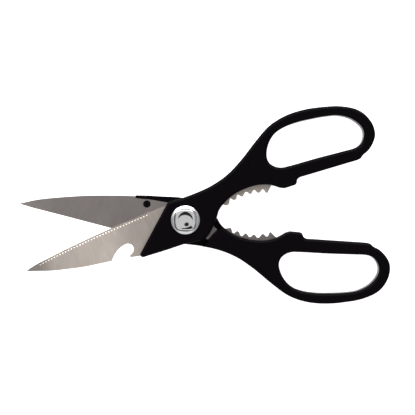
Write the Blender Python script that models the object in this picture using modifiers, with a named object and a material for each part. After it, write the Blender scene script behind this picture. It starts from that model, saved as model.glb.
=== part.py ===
"""Kitchen and poultry shears: two ground blades in moulded handles, turning on one pivot bolt.

Both halves are drawn closed, in their own frame: pivot at the origin, blade along -X, handle
along +X and +Y, heights measured from the shear plane towards that half's outer face. The front
half is then turned open, and the rear half is turned over and opened the other way.
"""

import math

import bmesh
import bpy
from mathutils import Matrix, Vector

MM = 0.001

# Overall layout, millimetres
SHEAR_PLANE = 7.4
HALF_OPENING = 11.75
HALF_THICKNESS = 5.8
PIECE_GAP = 0.3
HALF_GAP = 0.15
CENTRE_SHIFT = (-0.24, -0.64)

# Blades
BLADE_THICKNESS = 2.2
BLADE_OUTER = HALF_GAP + BLADE_THICKNESS
TIP_THICKNESS = 1.3
TAPER_START = -18.4
TIP_X = -93.0
ANCHOR_HOLE_CENTRE = (-22.1, -7.45)
ANCHOR_HOLE_RADIUS = 2.2
EDGE_BEVEL_WIDTH = 0.2
EDGE_BEVEL_DEPTH = 0.3
REAR_EDGE_START = (-67.2, 3.35)
REAR_EDGE_END = (-18.0, 11.3)
HOLLOW_COUNT = 38
HOLLOW_RADIUS = 0.75
HOLLOW_SQUASH = 0.55
HOLLOW_SIDES = 8
HOLLOW_INSET = 0.85
HOLLOW_SLANT = 29.0
HOLLOW_SHALLOW = 0.03

FRONT_SPINE = [(-92.2, 0.9), (-86.0, -1.0), (-79.8, -2.9), (-70.2, -5.0), (-60.6, -6.7), (-45.7, -8.3)]
NOTCH = [(-45.7, -8.3), (-42.2, -4.8), (-39.6, -3.1), (-36.9, -2.15), (-35.2, -1.85), (-33.7, -2.1),
         (-32.3, -3.2), (-31.75, -4.8), (-32.0, -6.2), (-32.8, -7.3), (-34.0, -8.1)]
NOTCH_HOOK = [(-35.0, -8.75), (-35.1, -9.2), (-34.5, -9.7), (-27.8, -10.9)]
FRONT_CUTTING_EDGE = [(-7.0, 11.2), (-11.0, 11.18), (-13.35, 11.2), (-14.2, 10.95)]
SERRATED_EDGE = [(-18.5, 10.94), (-22.5, 10.59), (-31.2, 9.79), (-39.2, 9.05), (-47.8, 8.21), (-55.8, 7.31),
                 (-64.4, 6.19), (-72.4, 5.07), (-81.0, 3.73), (-85.0, 3.10)]
FRONT_TIP = [(-87.8, 2.55), (-90.3, 1.85), (-91.7, 1.35)]
REAR_SPINE = [(-92.9, -1.0), (-84.0, -3.9), (-75.8, -5.7), (-56.5, -8.85), (-37.2, -10.75), (-30.0, -11.2)]
REAR_CUTTING_EDGE = [(-9.0, 12.1), (-18.0, 11.3), (-40.0, 7.8), (-67.2, 3.35), (-85.0, 0.55)]

# Tang inside the handle, shared by both blades, with each blade's own jaw teeth
REAR_TANG_START = [(-28.9, -11.0), (-28.3, -10.1), (-24.5, -10.05)]
TANG_LOWER = [(-21.0, -10.1), (-10.5, -9.3), (-2.0, -9.2), (5.0, -7.6), (12.0, -4.7),
              (15.5, -0.6), (16.3, 1.7), (18.0, 2.9)]
TANG_TAIL = [(53.0, 5.4), (58.0, 3.6), (63.0, 3.4), (63.4, 7.6), (58.5, 8.4), (53.0, 11.2), (49.0, 13.4)]
TANG_UPPER = [(40.0, 14.2), (30.0, 12.8), (20.0, 11.4), (13.3, 8.9), (12.2, 8.7), (14.3, 4.9), (13.4, 3.3),
              (9.2, 5.4), (4.0, 8.2), (-4.6, 10.4)]
FRONT_TEETH = [(23.1, 2.1), (24.2, 1.3), (25.4, 1.2), (26.4, 2.0), (27.2, 3.7), (27.9, 4.1),
               (29.0, 2.9), (30.0, 2.6), (30.9, 3.1), (31.7, 4.5), (32.5, 4.7), (33.7, 3.4),
               (34.6, 3.1), (35.4, 3.8), (36.6, 4.8), (37.4, 4.8), (38.6, 3.4), (39.2, 2.9),
               (40.0, 3.4), (41.1, 4.4), (42.0, 4.4), (42.9, 2.7), (43.7, 2.2), (44.6, 2.4),
               (45.9, 3.3), (46.7, 3.2), (47.4, 1.3), (48.1, 0.7), (49.0, 1.5), (51.4, 3.8)]
REAR_TEETH = [(24.2, 1.7), (24.9, 1.4), (25.5, 1.4), (26.1, 2.3), (26.8, 3.9), (27.5, 4.2), (28.8, 3.1),
              (29.6, 2.8), (30.4, 3.3), (31.3, 5.0), (32.2, 5.3), (33.6, 3.9), (34.3, 3.6), (35.0, 4.1),
              (36.1, 5.3), (37.1, 5.3), (38.2, 4.1), (38.7, 3.8), (39.4, 4.1), (40.6, 5.3), (41.7, 5.2),
              (42.8, 3.6), (43.6, 3.0), (44.4, 3.3), (45.5, 4.2), (46.4, 4.1), (47.1, 2.2), (47.7, 1.6),
              (48.6, 2.2), (50.7, 3.9)]

# Handles
EDGE_ROUNDING = 1.2
TIP_CENTRE = (-27.9, -10.3)
TIP_RADIUS = 1.5
SHOULDER_CENTRE = (-4.97, 11.0)
SHOULDER_RADIUS = 2.0
SLANT_NORMAL = 134.4
FRONT_BOSS = [(-15.0, -12.0), (-3.7, -11.95), (0.5, -12.3), (4.0, -12.65), (7.0, -12.35), (9.2, -11.7),
              (10.9, -10.6), (12.6, -9.0), (14.6, -6.8)]
REAR_BOSS = [(-21.5, -12.25), (-15.0, -12.45), (-4.0, -12.85), (1.8, -12.2), (6.1, -10.7),
             (10.4, -8.75), (14.1, -6.6)]
JAW = [(17.1, -3.8), (20.0, 0.12), (25.0, 3.5), (30.0, 5.5), (35.0, 6.5), (40.0, 6.8), (45.0, 6.4),
       (50.0, 4.9), (53.0, 3.2), (56.0, 1.1), (58.4, 0.12)]
STOP_STEP = [(63.6, 0.1), (64.9, 0.5), (66.2, 2.6), (67.8, 3.3), (71.0, 3.25)]
LOOP_OUTSIDE = [(101.0, 2.45), (103.1, 2.8), (105.0, 4.2), (108.2, 5.5), (112.0, 8.5), (114.7, 12.5),
                (115.4, 17.5), (114.0, 23.0), (111.0, 27.8), (107.0, 31.0), (100.0, 34.3), (93.0, 36.2),
                (85.0, 37.8), (76.0, 38.5), (68.0, 37.8), (60.0, 35.4), (50.0, 29.4), (40.0, 22.6),
                (30.0, 17.2), (20.0, 14.2), (10.0, 13.0), (2.0, 12.7)]
FINGER_HOLE = [(53.9, 19.0), (55.2, 23.2), (58.1, 27.4), (62.0, 30.5), (67.0, 32.2), (75.0, 32.8),
               (85.0, 32.0), (92.0, 31.0), (98.4, 29.4), (104.8, 25.4), (108.8, 19.7), (109.2, 16.0),
               (107.6, 12.4), (105.0, 10.1), (101.5, 9.3), (95.0, 9.6), (80.0, 10.5), (65.0, 11.1),
               (60.0, 11.6), (56.6, 13.3), (54.4, 16.0)]
CURVE_SPACING = 3.2
STEP_REGION = [(-45.0, 24.0), (-45.0, -24.0), (24.75, -24.0), (24.75, -3.95), (6.05, 20.9)]
STEP_SLOPE = 1.6

# Pivot, heights in millimetres above the rest plane
TURNED_SEGMENTS = 48
HEAD_RADIUS = 7.2
HEAD_TOP = 1.7
HEAD_EDGE = 0.6
NECK_SIDE = 6.4
NECK_TOP = 7.1
SHOULDER_BOLT_RADIUS = 3.1
SHOULDER_BOLT_TOP = 12.0
THREAD_RADIUS = 2.5
THREAD_ROOT = 2.15
THREAD_PITCH = 0.8
BOLT_TOP = 15.2
REAR_RECESS_RADIUS = 7.9
REAR_RECESS_FLOOR = 2.8
REAR_WASHER_RADIUS = 7.5
REAR_WASHER_LOW = 2.0
REAR_WASHER_HIGH = 2.5
FRONT_RECESS_RADIUS = 8.3
FRONT_RECESS_FLOOR = 10.9
BUSH_INNER = 3.16
BUSH_OUTER = 4.5
BUSH_LOW = 7.7
BUSH_FLANGE_RADIUS = 6.8
BUSH_FLANGE_LOW = 11.2
BUSH_FLANGE_HIGH = 11.9
WASHER_BORE = 2.8
FRONT_WASHER_RADIUS = 6.2
FRONT_WASHER_LOW = 12.15
FRONT_WASHER_HIGH = 12.6
SPRING_RADIUS = 5.2
SPRING_LOW = 12.8
SPRING_THICKNESS = 0.5
SPRING_DISH = 0.45
NUT_ACROSS_CORNERS = 9.0
NUT_BORE = 2.75
NUT_LOW = 13.9
NUT_HIGH = 15.1
CAP_RADIUS = 7.95
CAP_SKIRT_INNER = 7.2
CAP_SKIRT_LOW = 11.5
CAP_RIM_TOP = 14.3
CAP_RIM_SLOPE = [(2.0, 0.0), (1.3, 0.18), (0.7, 0.4), (0.25, 0.62), (0.0, 0.8)]
CAP_BOSS_LOW = 14.0
CAP_BOSS_TOP = 15.9
CAP_BOSS_HALF_WIDTH = 5.6
CAP_BOSS_POWER = 4.0
CAP_BOSS_TURN = -6.4
CAP_DOME_RADIUS = 4.2
CAP_TOP = 16.3
CAP_ROOF = 15.35


def clear_scene():
    for item in list(bpy.data.objects):
        bpy.data.objects.remove(item, do_unlink=True)


def new_collection(name):
    collection = bpy.data.collections.new(name)
    bpy.context.scene.collection.children.link(collection)
    return collection


def new_material(name, colour, metallic, roughness):
    material = bpy.data.materials.new(name)
    material.use_nodes = True
    shader = material.node_tree.nodes["Principled BSDF"]
    shader.inputs["Base Color"].default_value = (*colour, 1.0)
    shader.inputs["Metallic"].default_value = metallic
    shader.inputs["Roughness"].default_value = roughness
    material.diffuse_color = (*colour, 1.0)
    return material


def smooth_path(knots, closed=False):
    """Points along a centripetal Catmull-Rom curve through the knots, about CURVE_SPACING apart."""
    count = len(knots)
    spans = count if closed else count - 1
    points = []
    for index in range(spans):
        if closed:
            corners = [Vector(knots[(index + step) % count]) for step in (-1, 0, 1, 2)]
        else:
            corners = [Vector(knots[min(max(index + step, 0), count - 1)]) for step in (-1, 0, 1, 2)]
        before, start, end, after = corners
        if (start - before).length < 1e-6:
            before = start * 2 - end
        if (after - end).length < 1e-6:
            after = end * 2 - start
        times = [0.0]
        for first, second in ((before, start), (start, end), (end, after)):
            times.append(times[-1] + math.sqrt((second - first).length))
        steps = max(1, round((end - start).length / CURVE_SPACING))
        for step in range(steps):
            at = times[1] + (times[2] - times[1]) * step / steps
            first = before.lerp(start, at / times[1])
            second = start.lerp(end, (at - times[1]) / (times[2] - times[1]))
            third = end.lerp(after, (at - times[2]) / (times[3] - times[2]))
            near = first.lerp(second, at / times[2])
            far = second.lerp(third, (at - times[1]) / (times[3] - times[1]))
            points.append(near.lerp(far, (at - times[1]) / (times[2] - times[1])))
    if not closed:
        points.append(Vector(knots[-1]))
    return [(point.x, point.y) for point in points]


def arc(centre, radius, start, end, segments):
    points = []
    for step in range(segments + 1):
        angle = math.radians(start + (end - start) * step / segments)
        points.append((centre[0] + radius * math.cos(angle), centre[1] + radius * math.sin(angle)))
    return points


def circle(centre, radius, segments):
    return arc(centre, radius, 0.0, 360.0, segments)[:-1]


def square(centre, side):
    half = side / 2
    return [(centre[0] + x * half, centre[1] + y * half) for x, y in ((-1, -1), (1, -1), (1, 1), (-1, 1))]


def closed_mesh(drawing):
    """The evaluated mesh of a drawn object, welded, with its faces turned outward."""
    bpy.context.scene.collection.objects.link(drawing)
    bpy.context.view_layer.update()
    evaluated = drawing.evaluated_get(bpy.context.evaluated_depsgraph_get())
    mesh = bpy.data.meshes.new_from_object(evaluated)
    mesh.name = drawing.name
    bpy.data.objects.remove(drawing, do_unlink=True)
    shell = bmesh.new()
    shell.from_mesh(mesh)
    bmesh.ops.remove_doubles(shell, verts=shell.verts, dist=1e-6)
    bmesh.ops.recalc_face_normals(shell, faces=shell.faces)
    shell.to_mesh(mesh)
    shell.free()
    return mesh


def flat_solid(name, loops, low, high, rounding=0.0, growth=0.0):
    """A flat solid filled between closed loops, with rounded edges and its sides moved by growth."""
    curve = bpy.data.curves.new(name, "CURVE")
    curve.dimensions = "2D"
    curve.fill_mode = "BOTH"
    curve.extrude = ((high - low) / 2 - rounding) * MM
    curve.bevel_depth = rounding * MM
    curve.bevel_resolution = 1
    curve.offset = (growth - rounding) * MM
    for loop in loops:
        spline = curve.splines.new("POLY")
        spline.points.add(len(loop) - 1)
        for point, (x, y) in zip(spline.points, loop):
            point.co = (x * MM, y * MM, 0.0, 1.0)
        spline.use_cyclic_u = True
    mesh = closed_mesh(bpy.data.objects.new(name, curve))
    mesh.transform(Matrix.Translation((0.0, 0.0, (low + high) / 2 * MM)))
    return bpy.data.objects.new(name, mesh)


def turned_solid(name, profile):
    """A solid of revolution about the pivot axis; the profile runs down the outer side."""
    mesh = bpy.data.meshes.new(name)
    points = [(radius * MM, 0.0, height * MM) for radius, height in profile]
    count = len(points)
    edges = [(index, index + 1) for index in range(count - 1)]
    if profile[0][0] > 0.0:
        edges.append((count - 1, 0))
    mesh.from_pydata(points, edges, [])
    drawing = bpy.data.objects.new(name, mesh)
    screw = drawing.modifiers.new("Turn", "SCREW")
    screw.steps = TURNED_SEGMENTS
    screw.render_steps = TURNED_SEGMENTS
    screw.use_merge_vertices = True
    screw.merge_threshold = 1e-6
    return bpy.data.objects.new(name, closed_mesh(drawing))


def box_solid(name, corner_low, corner_high):
    shell = bmesh.new()
    bmesh.ops.create_cube(shell, size=1.0)
    low = Vector(corner_low)
    high = Vector(corner_high)
    for vertex in shell.verts:
        vertex.co = [(low[axis] + (vertex.co[axis] + 0.5) * (high[axis] - low[axis])) * MM for axis in range(3)]
    mesh = bpy.data.meshes.new(name)
    shell.to_mesh(mesh)
    shell.free()
    return bpy.data.objects.new(name, mesh)


def half_placement(side):
    """Move a half drawn closed into its open position: side 1 is the front half, -1 the rear."""
    height = Matrix.Translation((CENTRE_SHIFT[0] * MM, CENTRE_SHIFT[1] * MM, SHEAR_PLANE * MM))
    opening = Matrix.Rotation(math.radians(side * HALF_OPENING), 4, "Z")
    turned_over = Matrix.Rotation(0.0 if side == 1 else math.pi, 4, "X")
    return height @ opening @ turned_over


def pivot_centre(side):
    """Where the pivot axis passes through a half that is drawn closed."""
    centre = half_placement(side).inverted() @ Vector((0.0, 0.0, SHEAR_PLANE * MM))
    return centre.x / MM, centre.y / MM


def place(item, collection, side=None):
    collection.objects.link(item)
    if side is not None:
        item.data.transform(half_placement(side))
    return item


def finish(item, material, smooth=False):
    item.data.materials.clear()
    item.data.materials.append(material)
    for polygon in item.data.polygons:
        polygon.use_smooth = smooth


def hide_cutter(cutter):
    cutter.hide_render = True
    cutter.display_type = "WIRE"


def cut(target, cutter, operation="DIFFERENCE"):
    modifier = target.modifiers.new(cutter.name, "BOOLEAN")
    modifier.operation = operation
    modifier.solver = "EXACT"
    modifier.object = cutter


def blade_outline(spine, teeth, cutting_edge):
    return spine + TANG_LOWER + teeth + TANG_TAIL + TANG_UPPER + cutting_edge


def front_blade_outline():
    spine = smooth_path(FRONT_SPINE)[:-1] + smooth_path(NOTCH) + NOTCH_HOOK
    return blade_outline(spine, FRONT_TEETH, FRONT_CUTTING_EDGE + SERRATED_EDGE + FRONT_TIP)


def rear_blade_outline():
    return blade_outline(smooth_path(REAR_SPINE) + REAR_TANG_START, REAR_TEETH, REAR_CUTTING_EDGE)


def anchor_hole():
    return circle(ANCHOR_HOLE_CENTRE, ANCHOR_HOLE_RADIUS, 24)


def handle_outline(boss):
    tip = arc(TIP_CENTRE, TIP_RADIUS, SLANT_NORMAL, 270.0, 6)
    shoulder = arc(SHOULDER_CENTRE, SHOULDER_RADIUS, 90.0, SLANT_NORMAL, 3)
    return tip + smooth_path(boss + JAW) + smooth_path(STOP_STEP) + smooth_path(LOOP_OUTSIDE) + shoulder


def blade_top_at(x):
    """Height of a blade's outer face, which falls towards the tip."""
    fall = (BLADE_THICKNESS - TIP_THICKNESS) / (TAPER_START - TIP_X)
    return BLADE_OUTER - fall * max(0.0, TAPER_START - x)


def edge_bevel_cutter(name, start, end):
    """A long wedge that grinds the outer face down along the cutting edge."""
    low = Vector((*start, blade_top_at(start[0]) - EDGE_BEVEL_DEPTH))
    high = Vector((*end, blade_top_at(end[0]) - EDGE_BEVEL_DEPTH))
    direction = (high - low).normalized()
    cutter = box_solid(name, (-30.0, -6.0, 0.0), (90.0, 6.0, 8.0))
    lean = Matrix.Rotation(-math.atan2(EDGE_BEVEL_DEPTH, EDGE_BEVEL_WIDTH), 4, "X")
    climb = Matrix.Rotation(-math.asin(direction.z), 4, "Y")
    turn = Matrix.Rotation(math.atan2(direction.y, direction.x), 4, "Z")
    cutter.data.transform(Matrix.Translation(low * MM) @ turn @ climb @ lean)
    return cutter


def taper_cutter(name):
    """A long box whose underside thins the blade towards its tip."""
    length = TAPER_START - TIP_X
    fall = math.atan2(BLADE_THICKNESS - TIP_THICKNESS, length)
    cutter = box_solid(name, (-length - 20.0, -30.0, 0.0), (0.0, 30.0, 6.0))
    lean = Matrix.Rotation(-fall, 4, "Y")
    move = Matrix.Translation((TAPER_START * MM, 0.0, BLADE_OUTER * MM))
    cutter.data.transform(move @ lean)
    return cutter


def hollows_cutter(name):
    """A row of upright plugs with slanted ends; each sinks one small hollow behind the edge."""
    knots = [Vector(knot) for knot in SERRATED_EDGE]
    length = sum((after - before).length for before, after in zip(knots, knots[1:]))
    slant = math.tan(math.radians(HOLLOW_SLANT))
    plugs = bmesh.new()
    for index in range(HOLLOW_COUNT):
        distance = length * (index + 0.5) / HOLLOW_COUNT
        for start, end in zip(knots, knots[1:]):
            if distance <= (end - start).length:
                break
            distance -= (end - start).length
        along = (end - start).normalized()
        inward = Vector((-along.y, along.x))
        centre = start + along * distance + inward * HOLLOW_INSET
        plug = bmesh.ops.create_cone(plugs, cap_ends=True, segments=HOLLOW_SIDES, depth=2.0 * MM,
                                     radius1=HOLLOW_RADIUS * MM, radius2=HOLLOW_RADIUS * MM)["verts"]
        for vertex in plug:
            vertex.co.x *= HOLLOW_SQUASH
            if vertex.co.z < 0.0:
                vertex.co.z = -(HOLLOW_SHALLOW + HOLLOW_RADIUS * slant) * MM + vertex.co.y * slant
        turn = Matrix.Rotation(math.atan2(along.y, along.x), 4, "Z")
        move = Matrix.Translation(Vector((centre.x, centre.y, blade_top_at(centre.x))) * MM)
        bmesh.ops.transform(plugs, matrix=move @ turn, verts=plug)
    mesh = bpy.data.meshes.new(name)
    plugs.to_mesh(mesh)
    plugs.free()
    return bpy.data.objects.new(name, mesh)


def step_cutter(name):
    """Everything beyond the shear plane and short of the sloping step, where the halves overlap."""
    height = HALF_THICKNESS + HALF_GAP
    low = -2 * height + HALF_GAP
    corners = []
    for level, shift in ((low, STEP_SLOPE), (HALF_GAP, -STEP_SLOPE)):
        corners += [((x + shift) * MM, y * MM, level * MM) for x, y in STEP_REGION]
    count = len(STEP_REGION)
    faces = [tuple(range(count)), tuple(range(2 * count - 1, count - 1, -1))]
    for index in range(count):
        after = (index + 1) % count
        faces.append((index, index + count, after + count, after))
    mesh = bpy.data.meshes.new(name)
    mesh.from_pydata(corners, [], faces)
    return bpy.data.objects.new(name, closed_mesh(bpy.data.objects.new(name, mesh)))


def make_blade(name, outline, pivot_hole, grinding, side, parts, cutters):
    blade = flat_solid(name, [outline, anchor_hole(), pivot_hole], HALF_GAP, BLADE_OUTER)
    place(blade, parts, side)
    for cutter in (taper_cutter(name + "_taper"), grinding):
        hide_cutter(place(cutter, cutters, side))
        cut(blade, cutter)
    return blade


def make_handle(name, outline, boss, recess_floor, recess_radius, side, parts, cutters):
    loops = [handle_outline(boss), smooth_path(FINGER_HOLE, closed=True)]
    handle = flat_solid(name, loops, -HALF_THICKNESS, HALF_THICKNESS, rounding=EDGE_ROUNDING)
    place(handle, parts, side)
    lap = step_cutter(name + "_lap")
    pocket = flat_solid(name + "_pocket", [outline, anchor_hole()], HALF_GAP - PIECE_GAP,
                        BLADE_OUTER + PIECE_GAP, growth=PIECE_GAP)
    recess = flat_solid(name + "_recess", [circle(pivot_centre(side), recess_radius, TURNED_SEGMENTS)],
                        recess_floor, HALF_THICKNESS + 4.0)
    for cutter in (lap, pocket, recess):
        hide_cutter(place(cutter, cutters, side))
        cut(handle, cutter)
    return handle


def drill(target, loop, side, cutters):
    bore = flat_solid(target.name + "_bore", [loop], -HALF_THICKNESS - 4.0, HALF_THICKNESS + 4.0)
    hide_cutter(place(bore, cutters, side))
    cut(target, bore)


def bolt_profile():
    profile = [(0.0, BOLT_TOP), (THREAD_ROOT, BOLT_TOP)]
    turns = int((BOLT_TOP - SHOULDER_BOLT_TOP) / THREAD_PITCH)
    for turn in range(turns):
        crest = BOLT_TOP - (turn + 0.5) * THREAD_PITCH
        profile.append((THREAD_RADIUS, crest))
        profile.append((THREAD_ROOT, crest - THREAD_PITCH / 2))
    profile += [(THREAD_ROOT, SHOULDER_BOLT_TOP), (SHOULDER_BOLT_RADIUS, SHOULDER_BOLT_TOP),
                (SHOULDER_BOLT_RADIUS, HEAD_TOP), (HEAD_RADIUS, HEAD_TOP), (HEAD_RADIUS, HEAD_EDGE),
                (HEAD_RADIUS - HEAD_EDGE * 0.3, HEAD_EDGE * 0.3), (HEAD_RADIUS - HEAD_EDGE, 0.0), (0.0, 0.0)]
    return profile


def ring_profile(inner, outer, low, high):
    return [(inner, high), (outer, high), (outer, low), (inner, low)]


def boss_outline():
    """A rounded square with bulging sides, corners on the diagonals."""
    points = []
    for step in range(TURNED_SEGMENTS):
        angle = math.tau * step / TURNED_SEGMENTS
        across = abs(math.cos(angle)) ** CAP_BOSS_POWER + abs(math.sin(angle)) ** CAP_BOSS_POWER
        radius = CAP_BOSS_HALF_WIDTH / across ** (1.0 / CAP_BOSS_POWER)
        points.append((radius * math.cos(angle), radius * math.sin(angle)))
    return points


def make_cap(parts, cutters):
    rim = [(CAP_RADIUS - inset, CAP_RIM_TOP - drop) for inset, drop in CAP_RIM_SLOPE]
    cap = turned_solid("pivot_cap", [(0.0, CAP_BOSS_LOW + 0.6), *rim, (CAP_RADIUS, CAP_SKIRT_LOW),
                                     (0.0, CAP_SKIRT_LOW)])
    place(cap, parts)
    boss = flat_solid("pivot_cap_boss", [boss_outline()], CAP_BOSS_LOW, CAP_BOSS_TOP, rounding=0.5)
    boss.data.transform(Matrix.Rotation(math.radians(CAP_BOSS_TURN), 4, "Z"))
    dome = turned_solid("pivot_cap_dome", [
        (0.0, CAP_TOP), (CAP_DOME_RADIUS * 0.5, CAP_TOP - 0.08), (CAP_DOME_RADIUS * 0.85, CAP_TOP - 0.22),
        (CAP_DOME_RADIUS, CAP_TOP - 0.45), (CAP_DOME_RADIUS, CAP_BOSS_LOW), (0.0, CAP_BOSS_LOW)])
    hollow = turned_solid("pivot_cap_hollow", [
        (0.0, CAP_ROOF), (CAP_BOSS_HALF_WIDTH - 0.7, CAP_ROOF), (CAP_BOSS_HALF_WIDTH - 0.5, CAP_RIM_TOP - 0.7),
        (CAP_SKIRT_INNER, CAP_RIM_TOP - 0.7), (CAP_SKIRT_INNER, CAP_SKIRT_LOW - 1.0),
        (0.0, CAP_SKIRT_LOW - 1.0)])
    for cutter, operation in ((boss, "UNION"), (dome, "UNION"), (hollow, "DIFFERENCE")):
        hide_cutter(place(cutter, cutters))
        cut(cap, cutter, operation)
    return cap


def make_bolt(parts, cutters):
    bolt = place(turned_solid("pivot_bolt", bolt_profile()), parts)
    neck = flat_solid("pivot_bolt_neck", [square((0.0, 0.0), NECK_SIDE)], HEAD_TOP - 0.5, NECK_TOP)
    place(neck, cutters)
    neck.data.transform(Matrix.Rotation(math.radians(-HALF_OPENING), 4, "Z"))
    hide_cutter(neck)
    cut(bolt, neck, "UNION")
    return bolt


def make_rear_washer(parts, cutters):
    disc = [(0.0, REAR_WASHER_HIGH), (REAR_WASHER_RADIUS, REAR_WASHER_HIGH),
            (REAR_WASHER_RADIUS, REAR_WASHER_LOW), (0.0, REAR_WASHER_LOW)]
    washer = place(turned_solid("rear_washer", disc), parts)
    loop = square((0.0, 0.0), NECK_SIDE + 2 * PIECE_GAP)
    hole = place(flat_solid("rear_washer_hole", [loop], 0.0, 5.0), cutters)
    hole.data.transform(Matrix.Rotation(math.radians(-HALF_OPENING), 4, "Z"))
    hide_cutter(hole)
    cut(washer, hole)
    return washer


def make_bush(parts):
    return place(turned_solid("pivot_bush", [
        (BUSH_INNER, BUSH_FLANGE_HIGH), (BUSH_FLANGE_RADIUS, BUSH_FLANGE_HIGH),
        (BUSH_FLANGE_RADIUS, BUSH_FLANGE_LOW), (BUSH_OUTER, BUSH_FLANGE_LOW), (BUSH_OUTER, BUSH_LOW),
        (BUSH_INNER, BUSH_LOW)]), parts)


def make_spring_washer(parts):
    outer_low = SPRING_LOW
    inner_low = SPRING_LOW + SPRING_DISH
    return place(turned_solid("spring_washer", [
        (WASHER_BORE, inner_low + SPRING_THICKNESS), (SPRING_RADIUS, outer_low + SPRING_THICKNESS),
        (SPRING_RADIUS, outer_low), (WASHER_BORE, inner_low)]), parts)


def make_nut(parts):
    corners = circle((0.0, 0.0), NUT_ACROSS_CORNERS / 2, 6)
    loops = [corners, circle((0.0, 0.0), NUT_BORE, TURNED_SEGMENTS)]
    return place(flat_solid("pivot_nut", loops, NUT_LOW, NUT_HIGH), parts)


def build():
    clear_scene()
    parts = new_collection("poultry_shears")
    cutters = new_collection("cutters")

    steel = new_material("ground_steel", (0.46, 0.44, 0.42), 1.0, 0.38)
    black = new_material("black_moulding", (0.012, 0.011, 0.013), 0.0, 0.42)
    chrome = new_material("chrome_plate", (0.78, 0.78, 0.78), 1.0, 0.08)
    zinc = new_material("zinc_plated_steel", (0.55, 0.55, 0.54), 1.0, 0.34)
    nylon = new_material("natural_nylon", (0.62, 0.60, 0.54), 0.0, 0.5)

    round_hole = circle(pivot_centre(1), BUSH_OUTER + PIECE_GAP, TURNED_SEGMENTS)
    square_hole = square(pivot_centre(-1), NECK_SIDE + 2 * PIECE_GAP)

    front_blade = make_blade("front_blade", front_blade_outline(), round_hole,
                             hollows_cutter("front_blade_hollows"), 1, parts, cutters)
    rear_blade = make_blade("rear_blade", rear_blade_outline(), square_hole,
                            edge_bevel_cutter("rear_blade_bevel", REAR_EDGE_START, REAR_EDGE_END),
                            -1, parts, cutters)
    finish(front_blade, steel)
    finish(rear_blade, steel)

    front_handle = make_handle("front_handle", front_blade_outline(), FRONT_BOSS,
                               FRONT_RECESS_FLOOR - SHEAR_PLANE, FRONT_RECESS_RADIUS, 1, parts, cutters)
    drill(front_handle, round_hole, 1, cutters)
    rear_handle = make_handle("rear_handle", rear_blade_outline(), REAR_BOSS,
                              SHEAR_PLANE - REAR_RECESS_FLOOR, REAR_RECESS_RADIUS, -1, parts, cutters)
    drill(rear_handle, square_hole, -1, cutters)
    finish(front_handle, black)
    finish(rear_handle, black)

    finish(make_bolt(parts, cutters), zinc)
    finish(make_rear_washer(parts, cutters), zinc)
    finish(make_bush(parts), nylon)
    front_washer = turned_solid("front_washer", ring_profile(WASHER_BORE, FRONT_WASHER_RADIUS,
                                                             FRONT_WASHER_LOW, FRONT_WASHER_HIGH))
    finish(place(front_washer, parts), zinc)
    finish(make_spring_washer(parts), zinc)
    finish(make_nut(parts), zinc)
    finish(make_cap(parts, cutters), chrome)


build()
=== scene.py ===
"""Visual model of the kitchen and poultry shears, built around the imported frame."""

import math

import bmesh
import bpy
from mathutils import Matrix, Vector


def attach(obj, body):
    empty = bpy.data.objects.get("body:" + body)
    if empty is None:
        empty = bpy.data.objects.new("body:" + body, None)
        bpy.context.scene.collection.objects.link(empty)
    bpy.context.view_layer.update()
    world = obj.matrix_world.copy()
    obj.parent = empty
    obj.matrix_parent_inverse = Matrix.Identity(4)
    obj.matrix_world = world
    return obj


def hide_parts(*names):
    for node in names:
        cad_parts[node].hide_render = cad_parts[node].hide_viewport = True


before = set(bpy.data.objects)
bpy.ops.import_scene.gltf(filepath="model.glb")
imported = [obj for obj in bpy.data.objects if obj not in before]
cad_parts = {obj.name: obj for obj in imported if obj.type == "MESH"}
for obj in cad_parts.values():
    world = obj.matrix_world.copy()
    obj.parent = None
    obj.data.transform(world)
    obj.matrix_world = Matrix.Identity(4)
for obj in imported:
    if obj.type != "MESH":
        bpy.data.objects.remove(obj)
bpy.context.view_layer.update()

MM = 0.001

# Overall layout, millimetres, as in the CAD model except for SEAT_GAP, which is tighter here
SHEAR_PLANE = 7.4
HALF_OPENING = 11.75
HALF_THICKNESS = 5.8
SEAT_GAP = 0.12
HALF_GAP = 0.15
CENTRE_SHIFT = (-0.24, -0.64)

# Blades, drawn closed, millimetres and degrees
BLADE_THICKNESS = 2.2
BLADE_OUTER = HALF_GAP + BLADE_THICKNESS
TIP_THICKNESS = 1.3
TAPER_START = -18.4
TIP_X = -93.0
ANCHOR_CENTRE = (-22.1, -7.45)
ANCHOR_RADIUS = 2.05
BLADE_ROUNDING = 0.05
ANCHOR_SEGMENTS = 48
BORE_SEGMENTS = 64
EDGE_BEVEL_WIDTH = 0.2
EDGE_BEVEL_DEPTH = 0.3
REAR_EDGE = ((-67.2, 3.35), (-18.0, 11.3))
HOLLOW_COUNT = 38
HOLLOW_RADIUS = 0.75
HOLLOW_SQUASH = 0.55
HOLLOW_SIDES = 12
HOLLOW_INSET = 0.85
HOLLOW_SLANT = 27.0
HOLLOW_SHALLOW = 0.03

FRONT_SPINE = [(-92.2, 0.9), (-86.0, -1.0), (-79.8, -2.9), (-70.2, -5.0), (-60.6, -6.7), (-45.7, -8.3)]
NOTCH = [(-45.7, -8.3), (-42.2, -4.8), (-39.6, -3.1), (-36.9, -2.15), (-35.2, -1.85), (-33.7, -2.1),
         (-32.3, -3.2), (-31.75, -4.8), (-32.0, -6.2), (-32.8, -7.3), (-34.0, -8.1)]
NOTCH_HOOK = [(-34.0, -8.1), (-35.0, -8.6), (-35.2, -9.1), (-34.7, -9.6), (-33.9, -9.8)]
FRONT_CUTTING_EDGE = [(-7.0, 11.2), (-11.0, 11.18), (-13.35, 11.2), (-14.2, 10.95)]
SERRATED_EDGE = [(-18.5, 10.94), (-22.5, 10.59), (-31.2, 9.79), (-39.2, 9.05), (-47.8, 8.21), (-55.8, 7.31),
                 (-64.4, 6.19), (-72.4, 5.07), (-81.0, 3.73), (-85.0, 3.10)]
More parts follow.
